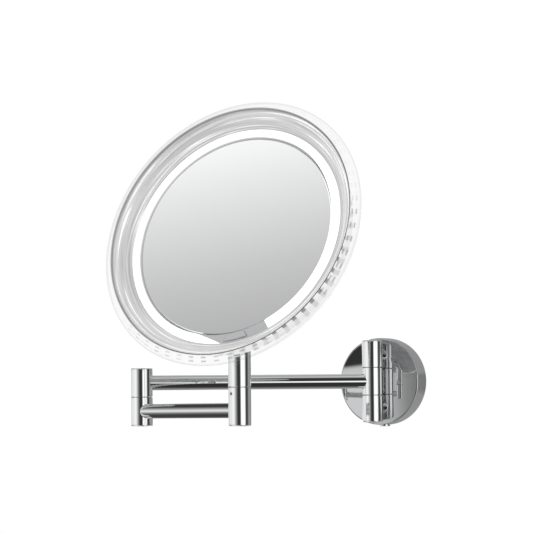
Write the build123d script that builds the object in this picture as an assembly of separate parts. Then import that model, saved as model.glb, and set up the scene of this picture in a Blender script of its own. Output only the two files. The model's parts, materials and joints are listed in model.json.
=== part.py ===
from build123d import *
import os
from math import asin, cos, degrees, radians, sin, sqrt

# Extendable shaving mirror: wall rosette, two-piece swing arm, swivelling post and a tilting lit head.
# Millimetres, +Z up. The origin is the centre of the wall plate's back face, the wall is the plane
# y = 0, and the room is on the -Y side. Every piece is drawn in the frame of what carries it (wall,
# arm 1, arm 2, post or head) and then placed by that frame.

# ---- how the mirror is set up at rest, degrees ----
ARM_1_OUT = 35.35  # arm 1, out from the wall plane, on the left
ELBOW_OPEN = 62.0  # between the two arms
HEAD_TURN = 24.8  # the post's cross axis, from arm 2's direction
HEAD_TILT = 21.8  # the glass faces this much upward

# ---- clearances, mm ----
RUNNING = 0.05  # radial, a shaft that turns in its bore
SEATED = 0.05  # radial, a piece fixed in its socket
LOOSE = 0.3  # round pieces that must not touch
SEAM = 0.5  # between two barrel knuckles, with a washer in it
WASHER = 0.4
END_GAP = 0.1  # at the bottom of a socket
WIRE_HOLE_ROOM = 0.8  # a hole is this much wider than its wire
SCREW_ROOM = 0.4  # and this much wider than a screw that only passes through it
JOIN = 0.1  # how far a shape runs into the one it is fused with
PAST = 1.0  # how far a cut runs past the face that it opens

# ---- wall rosette ----
ROSETTE_DIA = 76.0
ROSETTE_DEPTH = 16.7
ROSETTE_WALL = 2.0
ROSETTE_FACE = 2.5
ROSETTE_EDGE = 1.6  # round on the edge of the face
ROSETTE_OFF_WALL = 0.2
PLATE_THICK = 2.0
PLATE_RIM = 10.0  # height of the wall plate's rim
FIXING_SPACING = 50.0
FIXING_HOLE_DIA = 4.6
ROSETTE_SCREW_OUT = 5.6  # from the wall
ROSETTE_SCREW_DIA = 4.0
ROSETTE_SCREW_HEAD_DIA = 9.6
ROSETTE_SCREW_HEAD = 1.4
ROSETTE_SCREW_EDGE = 0.4
COIN_SLOT = 2.0  # width of the slot in its head
COIN_SLOT_DEPTH = 0.9
STAND_OFF_DIA = 12.0
STAND_OFF_SUNK = 2.4  # into the barrel
STAND_OFF_SCREW_DIA = 5.0
STAND_OFF_SCREW_HEAD_DIA = 9.0
STAND_OFF_SCREW_HEAD = 2.6
STAND_OFF_SCREW_LENGTH = 8.0
STAND_OFF_WEB = 2.0  # the screw's hole runs this far past its seat less than its length
HEX_SOCKET = 4.0  # across the corners of a socket for a hexagon key
HEX_DEPTH = 1.6

# ---- barrels and arms ----
WALL_REACH = 29.7  # wall barrel's axis from the wall
WALL_BARREL_DIA = 18.0
WALL_KNUCKLE = 24.1  # each of three
BARREL_DIA = 19.0  # elbow and post
ARM_1_LENGTH = 202.4  # axis to axis
ARM_2_LENGTH = 147.7
ARM_DROP = 24.5  # arm 2's centre line under arm 1's
TUBE_DIA = 12.7
TUBE_WALL = 1.2
TUBE_SHORT = 0.2  # between a tube's end and its socket's floor
BARREL_OVER_TUBE = 6.95  # from a tube's side to the domed end of its barrel
PIN_DIA = 8.0
PIN_WALL = 0.8  # metal between a pin's bore and a tube's socket
CAP_BAND = 0.5  # the straight edge of an end cap
CAP_DOME = 1.4
CAP_STUB = 1.6
CAP_SHOULDER = 0.8  # the round between a cap's edge and its dome, across
CAP_BROW = 0.75  # and along
CAP_OVER_NUT = 0.6  # a cap's stub stands this far outside the nut's corners
NUT_WALL = 1.7  # from a pin's surface to its nut's corners
NUT_THICK = 2.2
SPRING_WASHER = 0.5
CAP_CLEAR = 0.3  # between a cap's stub and what lies under it
KNUCKLE_CHAMFER = 0.35
SEAM_WASHER_INNER = 0.6  # a seam washer's edges, inside its pin's gap
SEAM_WASHER_OUTER = 0.8  # and under its barrel's side

# ---- post ----
POST_SEAM_OVER_TUBE = 12.85  # the post's seam above the side of arm 2's tube
SPIGOT_DIA = 8.0
SPIGOT_LENGTH = 11.8
SPIGOT_SHORT = 0.6  # over its socket's floor
BUSH_WALL = 1.5
SET_SCREW_DIA = 3.0
SET_SCREW_DROP = 5.4  # below the seam
SET_SCREW_TURN = -83.0  # from arm 2's direction
SET_SCREW_SUNK = 0.25  # under the barrel's side
SET_SCREW_SOCKET = 1.8
SET_SCREW_SOCKET_DEPTH = 1.4
GROOVE_DEPTH = 0.8
GROOVE_ROOM = 0.25  # on each side of the set screw
SET_SCREW_TIP_GAP = 0.2
SWIVEL_RANGE = (-35.0, 165.0)  # about the rest position
SWIVEL_MARGIN = 4.0
HINGE_RISE = 45.6  # tilt hinge's axis above the seam
FORK_TOP = 8.5  # above the hinge's axis
FORK_ROUND = 2.4
FORK_SLOT = 7.0
FORK_FLOOR = 9.5  # below the hinge's axis
TONGUE = 5.8
TONGUE_HEIGHT = 12.0
TILT_SCREW_DIA = 5.0
TILT_SCREW_HEAD_DIA = 8.4
TILT_HEAD_THICK = 2.2
TILT_SOCKET_FLOOR = 1.0  # metal left under the key's socket
TILT_NUT_DIA = 9.0
CHEEK = 2.6  # metal left under the screw's head and the nut
TILT_WASHER_DIA = 11.0
TILT_WASHER = 0.5
POCKET_ROOM = 0.4  # the pockets' diameter over the screw's head and the nut

# ---- head, measured from the front of the glass ----
HINGE_INSET = 16.45  # tilt hinge above the glass's lowest edge, in the head's plane
HINGE_BEHIND = 34.0
HEAD_DIA = 238.0
RIM_PLANE = 7.5  # where the head is widest
RIM_WIDTH = 7.5  # the rim outside the lip
RIM_ROUND = 0.9
RIM_FRONT = 1.2  # the round's reach to the front of the rim's plane
RIM_REAR = 2.0
RIM_CREST = 0.3
LIP_PLANE = 12.4
LIP_ROUND = 1.2  # the lip's round, towards the rim
LIP_INSIDE = 0.84  # and towards the flare
FLARE_WIDTH = 14.4  # from the dish's bore to the front inner edge
DISH_FLOOR = 0.8  # where the dish's flare starts
FLARE_BOW = 1.6  # hollow of the flare, across its chord
SIDE_BOW = 2.4  # swell of the dish's outside, across its chord
DISH_BACK = -13.3
DISH_BACK_WALL = 4.2  # thickness of the dish round its bore, at the back
DISH_FOOT = 2.0  # foot that the tray and the back cover clamp
DISH_FOOT_THICK = 1.1
GLASS_GAP = 2.15  # between the glass and the light ring
GLASS_THICK = 3.0
GLASS_BEVEL = 0.5
PAD_THICK = 1.0
PAD_INSET = 4.0
RING_WIDTH = 6.4
RING_FRONT = 3.3  # inner edge of the light ring
RING_SKIRT = 0.8
RING_TOP = 2.4  # thickness of its front wall
BOARD_THICK = 1.6
BOARD_FACE = -8.4
BOARD_INSIDE = 0.8  # the lamp board's inner edge inside the ring's
TRAY_PLATE = 2.0
TRAY_SKIRT = 2.0
TRAY_EDGE = 0.2  # the tray's plate outside the glass
LED_PITCH = 6.0  # degrees
LED_LENGTH = 3.0
LED_WIDTH = 2.0
LED_HEIGHT = 1.4
LED_FROM_PANEL = 1.0  # between the last lamps and the unlit stretch
LAMP_WIRE_INSET = 1.5  # the lamps' wires inside the ring's middle line

# ---- switch, angles round the head from its lowest point ----
PANEL_INNER = (-15.0, 30.0)  # the unlit stretch, along the ring's inner edge
PANEL_OUTER = (5.0, 30.0)  # and along its outer edge
PANEL_GAP = 0.2
PANEL_PAST = 1.0  # how far the stretch's space runs past the ring's edges
KEY_INNER = (8.6, 17.6)
KEY_OUTER = (5.9, 18.6)
KEY_MARGIN = 1.0  # from the light ring's edges
KEY_GAP = 0.15
KEY_PROUD = 1.0
KEY_TRAVEL = 0.6
KEY_BODY = 2.6
STEM_DIA = 2.4
TACT_SIZE = 4.2
TACT_HEIGHT = 2.0
TACT_FLOOR = 0.2
STEM_CLEAR = 0.3  # between the pressed stem and the board
SWITCH_WIRE_INSET = 1.6  # the switch's wire outside the ring's inner edge

# ---- batteries, electrics and the back of the head ----
CELL_DIA = 14.5
CELL_LENGTH = 50.5
CELL_COUNT = 4
CELL_APART = 0.4  # between neighbouring cells
BOX_WALL = 1.2
CONTACT_ROOM = 3.4  # at each end of the cells
CONTACT_THICK = 0.4
CONTACT_SIZE = 9.0
CONTACT_NOSE = (3.0, 1.4)  # radii of a contact's nose, at its foot and its tip
CELL_EDGE = 0.5
BUTTON_DIA = 5.4
BUTTON_HEIGHT = 1.0
BOX_UNDER_TRAY = 0.4
CELL_FROM_FLOOR = 0.2
BOX_EAR = 8.0  # lug under the box that takes the door's screw
BACK_FACE = -20.0
BACK_SLOPE = 15.3  # width of the slope round the flat back
BACK_WALL = 2.0
BACK_BOW = 1.2
COVER_LIP = 0.1  # between the dish's back and the cover's rim
DOOR_THICK = 1.8
DOOR_GAP = 0.3
DOOR_FRAME = 3.0
DOOR_CORNER = 4.0
BOSS_DIA = 7.0
BOSS_FLOOR = 1.0  # left between a boss's hole and the tray's plate
SMALL_SCREW_DIA = 3.0
SMALL_HEAD_DIA = 5.6
SMALL_HEAD = 1.6
SMALL_CROSS = (1.4, 0.35)  # half length and half width of a cross recess
SMALL_CROSS_DEPTH = 0.9
COVER_SCREW_LENGTH = 10.0
COVER_SCREW_INSET = 8.25  # the cover's screws inside the glass's edge
DOOR_SCREW_HEAD = 1.0
DOOR_SCREW_LENGTH = 8.0
DOOR_SLOT = (0.4, 0.6)  # half width and depth of the slot in the door's screw
BRACKET_WIDTH = 34.0
BRACKET_BELOW = 9.0  # the plate's lower edge under the hinge's axis
BRACKET_ABOVE = 16.0
BRACKET_THICK = 2.5
BRACKET_CORNER = 3.0
BRACKET_SCREWS = (24.0, 14.0)
BRACKET_SCREW_LENGTH = 8.0
SPARE_UNDER_BOX = 0.3066  # of the height left over between bracket and skirt
SPARE_OVER_BOX = 0.2075
DRIVER_BOARD = (36.0, 16.0)
DRIVER_FACE = -9.0
COIL_DIA, COIL_HEIGHT, COIL_ASIDE = 8.0, 4.0, -10.0
CHIP_SIZE, CHIP_HEIGHT, CHIP_ASIDE = (5.0, 4.0), 1.4, 9.5
CAPACITOR_DIA, CAPACITOR_HEIGHT = 4.0, 5.0
CAPACITOR_PLACE = (14.8, 4.0)  # from the board's middle
PAD_INSIDE = 3.0  # a wire's joint, inside the board's long edge
WIRE_DIA = 1.2
WIRE_APART = 3.0
WIRE_BEHIND_FLANGE = 1.6
WIRE_BEHIND_DRIVER = 2.4
BATTERY_WIRE_BEND = 1.6
LAMP_WIRE_BEND = 1.5
SWITCH_WIRE_BENDS = (1.2, 8.0, 8.0, 5.0, 1.2)
SWITCH_WIRE_ASIDE = 12.0  # beside the battery box
SWITCH_WIRE_DROP = 14.0  # from the driver's middle to the straight run
SWITCH_WIRE_UNDER = 15.0  # under the battery box
SWITCH_WIRE_TAIL = 6.0

# ---- worked out ----
STEP_UP = (Align.CENTER, Align.CENTER, Align.MIN)
CAP_HEIGHT = CAP_BAND + CAP_DOME
WALL_TOP = 1.5 * WALL_KNUCKLE
WALL_SEAM = 0.5 * WALL_KNUCKLE
STAND_OFF_RISE = WALL_KNUCKLE
PIN_R = PIN_DIA / 2
NUT_DIA = PIN_DIA + 2 * NUT_WALL
CAP_STUB_DIA = NUT_DIA + 2 * CAP_OVER_NUT
BARREL_END = TUBE_DIA / 2 + BARREL_OVER_TUBE
POST_SEAM_RISE = TUBE_DIA / 2 + POST_SEAM_OVER_TUBE
SOCKET_FLOOR = PIN_R + RUNNING + PIN_WALL
ROSETTE_R = ROSETTE_DIA / 2
PLATE_R = ROSETTE_R - ROSETTE_WALL - LOOSE
SPIGOT_R = SPIGOT_DIA / 2
BUSH_R = SPIGOT_R + RUNNING + BUSH_WALL
HEAD_R = HEAD_DIA / 2
LIP_R = HEAD_R - RIM_WIDTH
DISH_BORE = LIP_R - FLARE_WIDTH
DISH_BACK_R = DISH_BORE + DISH_BACK_WALL
RING_OUT = DISH_BORE - LOOSE
RING_IN = RING_OUT - RING_WIDTH
RING_SLOPE = (RING_FRONT - DISH_FLOOR) / (RING_OUT - RING_IN)
GLASS_R = RING_IN - GLASS_GAP
HINGE_BELOW = GLASS_R - HINGE_INSET
TRAY_R = GLASS_R + TRAY_EDGE
TRAY_FACE = -GLASS_THICK - PAD_THICK
TRAY_BACK = TRAY_FACE - TRAY_PLATE
FLANGE_FACE = BOARD_FACE - BOARD_THICK
FLANGE_BACK = DISH_BACK + DISH_FOOT_THICK
COVER_RIM = DISH_BACK - COVER_LIP
LED_R = (RING_OUT + RING_IN) / 2
BOX_FLOOR = TRAY_BACK - BOX_UNDER_TRAY
CELL_PITCH = CELL_DIA + CELL_APART
CELL_AXIS = BOX_FLOOR - BOX_WALL - CELL_FROM_FLOOR - CELL_DIA / 2
BOX_BACK = CELL_AXIS - CELL_DIA / 2 - LOOSE
DOOR_FACE = BOX_BACK - DOOR_THICK
BOX_X = (CELL_COUNT * CELL_PITCH) / 2 + BOX_WALL
BOX_Y = CELL_LENGTH / 2 + CONTACT_ROOM + BOX_WALL
DOOR_X = BOX_X + DOOR_GAP
DOOR_LOW, DOOR_HIGH = -BOX_Y - BOX_EAR - DOOR_GAP, BOX_Y + DOOR_GAP
DOOR_SCREW_Y = -BOX_Y - BOX_EAR / 2
BRACKET_FACE = BACK_FACE + BACK_WALL + BRACKET_THICK

# the battery box and the driver share the height between the tilt bracket and the tray's skirt
ROOM_LOW, ROOM_HIGH = BRACKET_ABOVE - HINGE_BELOW, TRAY_R - TRAY_SKIRT
SPARE_HEIGHT = ROOM_HIGH - ROOM_LOW - BOX_EAR - 2 * BOX_Y - DRIVER_BOARD[1]
BOX_UP = ROOM_LOW + SPARE_UNDER_BOX * SPARE_HEIGHT + BOX_EAR + BOX_Y  # its middle over the glass's
DRIVER_UP = BOX_UP + BOX_Y + SPARE_OVER_BOX * SPARE_HEIGHT + DRIVER_BOARD[1] / 2

# ---- frames of the moving bodies, at rest ----
WALL = Pos(0, -WALL_REACH, 0)
ARM_1 = WALL * Rot(0, 0, 180 + ARM_1_OUT)
ARM_2 = ARM_1 * Pos(ARM_1_LENGTH, 0, -ARM_DROP) * Rot(0, 0, -180 - ELBOW_OPEN)
POST = ARM_2 * Pos(ARM_2_LENGTH, 0, POST_SEAM_RISE) * Rot(0, 0, HEAD_TURN)
HINGE = POST * Pos(0, 0, HINGE_RISE)
HEAD = HINGE * Rot(90 - HEAD_TILT, 0, 0) * Pos(0, HINGE_BELOW, HINGE_BEHIND)
TO_WALL = Rot(90, 0, 0)  # a piece's +Z becomes -Y, out from the wall
ALONG_X = Rot(0, 90, 0)  # a piece's +Z becomes +X

nodes = {}


# ---- shapes that repeat ----
def rod(diameter, low, high):
    return Pos(0, 0, low) * Cylinder(diameter / 2, high - low, align=STEP_UP)


def ring(inner, outer, low, high):
    return rod(outer, low, high) - rod(inner, low - PAST, high + PAST)


def block(x, y, z):
    """A box from (low, high) pairs."""
    corner = Pos(x[0], y[0], z[0])
    return corner * Box(x[1] - x[0], y[1] - y[0], z[1] - z[0], align=(Align.MIN,) * 3)


def turned(outline, low_angle=0.0, sweep=360.0):
    """Revolves edges drawn as (radius, height) about the Z axis."""
    return Rot(0, 0, low_angle) * revolve(make_face(Plane.XZ * outline), Axis.Z, sweep)


def bowed(start, end, bow):
    """An arc from start to end that stands off its chord by bow, to the right of the way."""
    (a, b), (c, d) = start, end
    length = sqrt((c - a) ** 2 + (d - b) ** 2)
    middle = ((a + c) / 2 + bow * (d - b) / length, (b + d) / 2 - bow * (c - a) / length)
    return ThreePointArc(start, middle, end)


def knuckle(diameter, low, high, bore):
    """A barrel segment on the Z axis, with broken edges."""
    body = chamfer(rod(diameter, low, high).edges().filter_by(GeomType.CIRCLE), KNUCKLE_CHAMFER)
    return body - rod(bore, low - PAST, high + PAST)


def end_cap(diameter):
    """A domed cap whose flat face is at z = 0, with a stub under it."""
    r, shoulder, stub = diameter / 2, diameter / 2 - CAP_SHOULDER, CAP_STUB_DIA / 2
    brow = CAP_BAND + CAP_BROW
    rise = CAP_HEIGHT - brow
    dome_r = (shoulder ** 2 + rise ** 2) / (2 * rise)
    half_way = CAP_HEIGHT - dome_r + sqrt(dome_r ** 2 - (shoulder / 2) ** 2)
    edges = Polyline((0, CAP_HEIGHT), (0, -CAP_STUB), (stub, -CAP_STUB), (stub, 0), (r, 0), (r, CAP_BAND))
    edge_round = (r - CAP_SHOULDER / 4, CAP_BAND + CAP_BROW * 2 / 3)  # where the round is fullest
    edges += ThreePointArc((r, CAP_BAND), edge_round, (shoulder, brow))
    edges += ThreePointArc((shoulder, brow), (shoulder / 2, half_way), (0, CAP_HEIGHT))
    return turned(edges)


def hexagon_nut(across_corners, bore, low, high):
    prism = extrude(RegularPolygon(across_corners / 2, 6), high - low)
    return Pos(0, 0, low) * prism - rod(bore, low - PAST, high + PAST)


def ring_section(top, skirt_foot):
    """Channel section of the light ring and the switch panel, open to the back."""
    a, b = RING_IN + RING_SKIRT, RING_OUT - RING_SKIRT
    fall = RING_SLOPE * RING_SKIRT + top
    rise = RING_SLOPE * RING_SKIRT - top
    return Polyline(
        (RING_IN, skirt_foot), (RING_IN, RING_FRONT), (RING_OUT, DISH_FLOOR), (RING_OUT, skirt_foot),
        (b, skirt_foot), (b, DISH_FLOOR + rise), (a, RING_FRONT - fall), (a, skirt_foot), close=True)


def from_bottom(angle, radius):
    """A point of the head's plane at an angle from its lowest point, towards +X."""
    return radius * sin(radians(angle)), -radius * cos(radians(angle))


def ring_patch(inner, inner_angles, outer, outer_angles, low, high, swell=0.0):
    """A plate between two arcs about the head's centre, with straight ends; swell grows its outline."""
    corners = []
    for side, start, end in zip((-1, 1), inner_angles, outer_angles):
        foot, tip = Vector(*from_bottom(start, inner)), Vector(*from_bottom(end, outer))
        along = (tip - foot).normalized()
        aside = Vector(-along.Y, along.X) * side * swell
        corners.append((foot - along * PAST + aside, tip + along * PAST + aside))
    (left_foot, left_tip), (right_foot, right_tip) = corners
    apex = from_bottom(sum(outer_angles) / 2, 2 * outer)
    wedge = make_face(Polyline(left_foot, left_tip, apex, right_tip, right_foot, close=True))
    sector = Pos(0, 0, low) * extrude(wedge, high - low)
    return sector & ring(2 * (inner - swell), 2 * (outer + swell), low, high)


def panel_space(low, high, swell=0.0):
    """The unlit stretch of the ring, a little wider than the ring."""
    inner, outer = RING_IN - PANEL_PAST, RING_OUT + PANEL_PAST
    return ring_patch(inner, PANEL_INNER, outer, PANEL_OUTER, low, high, swell)


def key_space(low, high, swell=0.0):
    inner, outer = RING_IN + KEY_MARGIN, RING_OUT - KEY_MARGIN
    return ring_patch(inner, KEY_INNER, outer, KEY_OUTER, low, high, swell)


def wire(points, radius):
    path = FilletPolyline(*points, radius=radius)
    return sweep(Plane(path @ 0, z_dir=path % 0) * Circle(WIRE_DIA / 2), path=path)


def group(solids):
    return Compound([part for solid in solids for part in solid.solids()])


def lowered(piece):
    """A piece turned upside down, for the far end of a barrel."""
    return mirror(piece, Plane.XY)


def place(frame, **pieces):
    for name, piece in pieces.items():
        nodes[name] = frame * piece


# ---- wall plate, rosette and stand-offs ----
def wall_plate():
    """A pressed dish, its back on the wall, with two fixing holes and a rim hole for the screw."""
    plate = rod(2 * PLATE_R, 0, PLATE_THICK)
    plate += ring(2 * PLATE_R - 2 * PLATE_THICK, 2 * PLATE_R, 0, PLATE_RIM)
    for side in (-1, 1):
        plate -= Pos(side * FIXING_SPACING / 2, 0, 0) * rod(FIXING_HOLE_DIA, -PAST, PLATE_THICK + PAST)
    plate = TO_WALL * plate
    hole = rod(ROSETTE_SCREW_DIA + SCREW_ROOM, -PLATE_R - PAST, -PLATE_R + PLATE_THICK + PAST)
    return plate - Pos(0, -ROSETTE_SCREW_OUT, 0) * hole


def rosette():
    cup = rod(ROSETTE_DIA, ROSETTE_OFF_WALL, ROSETTE_DEPTH)
    cup = fillet(cup.faces().sort_by(Axis.Z)[-1].edges(), ROSETTE_EDGE)
    cup -= rod(ROSETTE_DIA - 2 * ROSETTE_WALL, -PAST, ROSETTE_DEPTH - ROSETTE_FACE)
    cup = TO_WALL * cup
    for side in (-1, 1):
        hole = rod(STAND_OFF_SCREW_DIA + 2 * SEATED, 0, ROSETTE_DEPTH + PAST)
        cup -= Pos(0, 0, side * STAND_OFF_RISE) * TO_WALL * hole
    hole = rod(ROSETTE_SCREW_DIA + 2 * SEATED, -ROSETTE_R - PAST, -ROSETTE_R + ROSETTE_WALL + PAST)
    return cup - Pos(0, -ROSETTE_SCREW_OUT, 0) * hole


def rosette_screw():
    """Thumb screw from below that holds the rosette on the wall plate's rim."""
    head = rod(ROSETTE_SCREW_HEAD_DIA, -ROSETTE_R - ROSETTE_SCREW_HEAD, -ROSETTE_R)
    head = fillet(head.edges().sort_by(Axis.Z)[0], ROSETTE_SCREW_EDGE)
    end = -ROSETTE_R - ROSETTE_SCREW_HEAD
    slot_x, slot_y = COIN_SLOT / 2, ROSETTE_SCREW_HEAD_DIA / 2 + PAST
    head -= block((-slot_x, slot_x), (-slot_y, slot_y), (end - PAST, end + COIN_SLOT_DEPTH))
    shank = rod(ROSETTE_SCREW_DIA, -ROSETTE_R - JOIN, -PLATE_R + PLATE_THICK)
    return Pos(0, -ROSETTE_SCREW_OUT, 0) * (head + shank)


STAND_OFF_END = WALL_REACH - WALL_BARREL_DIA / 2 + STAND_OFF_SUNK  # from the wall


def stand_off(side):
    post = rod(STAND_OFF_DIA, ROSETTE_DEPTH, STAND_OFF_END)
    hole_end = ROSETTE_DEPTH + STAND_OFF_SCREW_LENGTH - STAND_OFF_WEB
    post -= rod(STAND_OFF_SCREW_DIA + 2 * SEATED, ROSETTE_DEPTH - PAST, hole_end)
    return Pos(0, 0, side * STAND_OFF_RISE) * TO_WALL * post


def stand_off_screw(side):
    inside = ROSETTE_DEPTH - ROSETTE_FACE
    screw = rod(STAND_OFF_SCREW_HEAD_DIA, inside - STAND_OFF_SCREW_HEAD, inside)
    screw += rod(STAND_OFF_SCREW_DIA, inside - JOIN, inside + STAND_OFF_SCREW_LENGTH)
    socket = extrude(RegularPolygon(HEX_SOCKET / 2, 6), HEX_DEPTH)
    screw -= Pos(0, 0, inside - STAND_OFF_SCREW_HEAD) * socket
    return Pos(0, 0, side * STAND_OFF_RISE) * TO_WALL * screw


# ---- the wall barrel: outer knuckles fixed, the middle one on arm 1 ----
CUP_DIA = CAP_STUB_DIA + 2 * SEATED  # counterbore at a barrel's end
OUTER_TOP = WALL_TOP - CAP_HEIGHT  # where an end cap seats
NUT_SEAT = OUTER_TOP - CAP_STUB - CAP_CLEAR - NUT_THICK


def outer_wall_knuckle(side):
    body = knuckle(WALL_BARREL_DIA, WALL_SEAM + SEAM / 2, OUTER_TOP, PIN_DIA + 2 * SEATED)
    body -= rod(CUP_DIA, NUT_SEAT, OUTER_TOP + PAST)
    socket = rod(STAND_OFF_DIA + 2 * SEATED, -STAND_OFF_END - END_GAP, 0)
    socket = Pos(0, WALL_REACH, STAND_OFF_RISE) * Rot(-90, 0, 0) * socket
    body -= socket
    return body if side > 0 else lowered(body)


def wall_pin():
    """Shaft through all three knuckles, with a head in the top one's counterbore."""
    shaft = rod(PIN_DIA, -OUTER_TOP + CAP_STUB + CAP_CLEAR, NUT_SEAT + JOIN)
    return shaft + rod(NUT_DIA, NUT_SEAT, NUT_SEAT + NUT_THICK)


def seam_washer(diameter, low):
    inner, outer = PIN_DIA + 2 * SEAM_WASHER_INNER, diameter - 2 * SEAM_WASHER_OUTER
    return ring(inner, outer, low, low + WASHER)


def tube_socket(length, reach):
    """What is cut from a barrel for the tube that enters it along +X."""
    return ALONG_X * rod(TUBE_DIA + 2 * SEATED, length, reach)


# ---- arms ----
def arm_tube(length):
    """A tube along +X between the sockets of two barrels."""
    start = SOCKET_FLOOR + TUBE_SHORT
    return ALONG_X * ring(TUBE_DIA - 2 * TUBE_WALL, TUBE_DIA, start, length - start)


def middle_knuckle():
    low, high = -WALL_SEAM + SEAM / 2, WALL_SEAM - SEAM / 2
    body = knuckle(WALL_BARREL_DIA, low, high, PIN_DIA + 2 * RUNNING)
    return body - tube_socket(SOCKET_FLOOR, WALL_BARREL_DIA)


# the depth of the counterbore that holds the elbow's nut, and its floor in arm 1's frame
ELBOW_CAP = BARREL_END - CAP_HEIGHT
NUT_CUP = CAP_STUB + CAP_CLEAR + NUT_THICK + SPRING_WASHER
ELBOW_NUT_SEAT = -ARM_DROP - ELBOW_CAP + NUT_CUP


def elbow_knuckle(bore, direction, nut_side):
    """One half of the elbow, its tube's centre line at z = 0 and its cap on the far side."""
    body = knuckle(BARREL_DIA, SEAM / 2 - ARM_DROP / 2, ELBOW_CAP, bore)
    body -= rod(CUP_DIA, ELBOW_CAP - (NUT_CUP if nut_side else CAP_STUB + CAP_CLEAR), ELBOW_CAP + PAST)
    body -= Rot(0, 0, direction) * tube_socket(SOCKET_FLOOR, BARREL_DIA)
    return lowered(body) if nut_side else body


def elbow_pin():
    """Pressed into the upper knuckle; the lower one turns on it."""
    return rod(PIN_DIA, ELBOW_NUT_SEAT - SPRING_WASHER - NUT_THICK, ELBOW_CAP - CAP_STUB - CAP_CLEAR)


# ---- post ----
def post_lower_barrel():
    top, bottom = POST_SEAM_RISE - SEAM / 2, -ELBOW_CAP
    body = chamfer(rod(BARREL_DIA, bottom, top).edges().filter_by(GeomType.CIRCLE), KNUCKLE_CHAMFER)
    body -= rod(2 * BUSH_R + 2 * SEATED, top - SPIGOT_LENGTH, top + PAST)
    body -= rod(CUP_DIA, bottom - PAST, bottom + CAP_STUB + CAP_CLEAR)
    body -= ALONG_X * rod(TUBE_DIA + 2 * SEATED, -BARREL_DIA, -SOCKET_FLOOR)
    return body - set_screw_line(SET_SCREW_DIA + 2 * SEATED, 0, BARREL_DIA)


def set_screw_line(diameter, start, stop):
    """A rod on the set screw's axis, between two distances from the post's axis, in arm 2's frame."""
    line = Pos(0, 0, POST_SEAM_RISE - SET_SCREW_DROP) * Rot(0, 0, SET_SCREW_TURN)
    return line * ALONG_X * rod(diameter, start, stop)


def post_set_screw():
    outer = BARREL_DIA / 2 - SET_SCREW_SUNK
    tip = SPIGOT_R - GROOVE_DEPTH + SET_SCREW_TIP_GAP
    socket = set_screw_line(SET_SCREW_SOCKET, outer - SET_SCREW_SOCKET_DEPTH, outer + PAST)
    return set_screw_line(SET_SCREW_DIA, tip, outer) - socket


def post_bush():
    top = POST_SEAM_RISE - SEAM / 2
    body = ring(SPIGOT_DIA + 2 * RUNNING, 2 * BUSH_R, top - SPIGOT_LENGTH + END_GAP, top)
    return body - set_screw_line(SET_SCREW_DIA + SCREW_ROOM, 0, BARREL_DIA)


def swivel_groove():
    """The set screw's track round the spigot, as long as the swivel's travel, in the post's frame."""
    tip = degrees(asin(SET_SCREW_DIA / 2 / SPIGOT_R)) + SWIVEL_MARGIN
    screw_at = SET_SCREW_TURN - HEAD_TURN
    start, stop = screw_at - SWIVEL_RANGE[1] - tip, screw_at - SWIVEL_RANGE[0] + tip
    width = SET_SCREW_DIA / 2 + GROOVE_ROOM
    floor, outside = SPIGOT_R - GROOVE_DEPTH, SPIGOT_R + PAST
    corners = [(floor, -width), (outside, -width), (outside, width), (floor, width)]
    outline = Pos(0, -SET_SCREW_DROP) * Polyline(*corners, close=True)
    return turned(outline, start, stop - start)


def post_upper_barrel():
    """Barrel with a spigot below and a slotted, round-topped fork for the head's tongue."""
    r, top = BARREL_DIA / 2, HINGE_RISE + FORK_TOP
    foot, edge = SEAM / 2, KNUCKLE_CHAMFER
    shoulder = FORK_ROUND * (1 - sqrt(0.5))
    edges = Polyline((0, top), (0, foot), (r - edge, foot), (r, foot + edge), (r, top - FORK_ROUND))
    edges += ThreePointArc((r, top - FORK_ROUND), (r - shoulder, top - shoulder), (r - FORK_ROUND, top))
    edges += Line((r - FORK_ROUND, top), (0, top))
    body = turned(edges) + rod(SPIGOT_DIA, foot - SEAM - SPIGOT_LENGTH + SPIGOT_SHORT, foot + JOIN)
    body -= swivel_groove()
    slot = FORK_SLOT / 2
    body -= block((-slot, slot), (-r - PAST, r + PAST), (HINGE_RISE - FORK_FLOOR, top + PAST))
    axis = Pos(0, 0, HINGE_RISE) * ALONG_X
    body -= axis * rod(TILT_SCREW_DIA + 2 * SEATED, -r, r)
    pocket = slot + CHEEK
    body -= axis * rod(TILT_SCREW_HEAD_DIA + POCKET_ROOM, pocket, r + PAST)
    return body - axis * rod(TILT_NUT_DIA + POCKET_ROOM, -r - PAST, -pocket)


def tilt_screw():
    pocket = FORK_SLOT / 2 + CHEEK
    body = rod(TILT_SCREW_DIA, -pocket - TILT_HEAD_THICK, pocket + JOIN)
    body += rod(TILT_SCREW_HEAD_DIA, pocket, pocket + TILT_HEAD_THICK)
    socket = extrude(RegularPolygon(HEX_SOCKET / 2, 6), TILT_HEAD_THICK + PAST)
    return ALONG_X * (body - Pos(0, 0, pocket + TILT_SOCKET_FLOOR) * socket)


def tilt_nut():
    pocket, bore = FORK_SLOT / 2 + CHEEK, TILT_SCREW_DIA + 2 * SEATED
    return ALONG_X * hexagon_nut(TILT_NUT_DIA, bore, -pocket - TILT_HEAD_THICK, -pocket)


def tilt_washer(side):
    """Friction washer between the tongue and a cheek."""
    low = TONGUE / 2
    flat = ring(TILT_SCREW_DIA + 2 * SEATED, TILT_WASHER_DIA, low, low + TILT_WASHER)
    return ALONG_X * (flat if side > 0 else lowered(flat))


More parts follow.
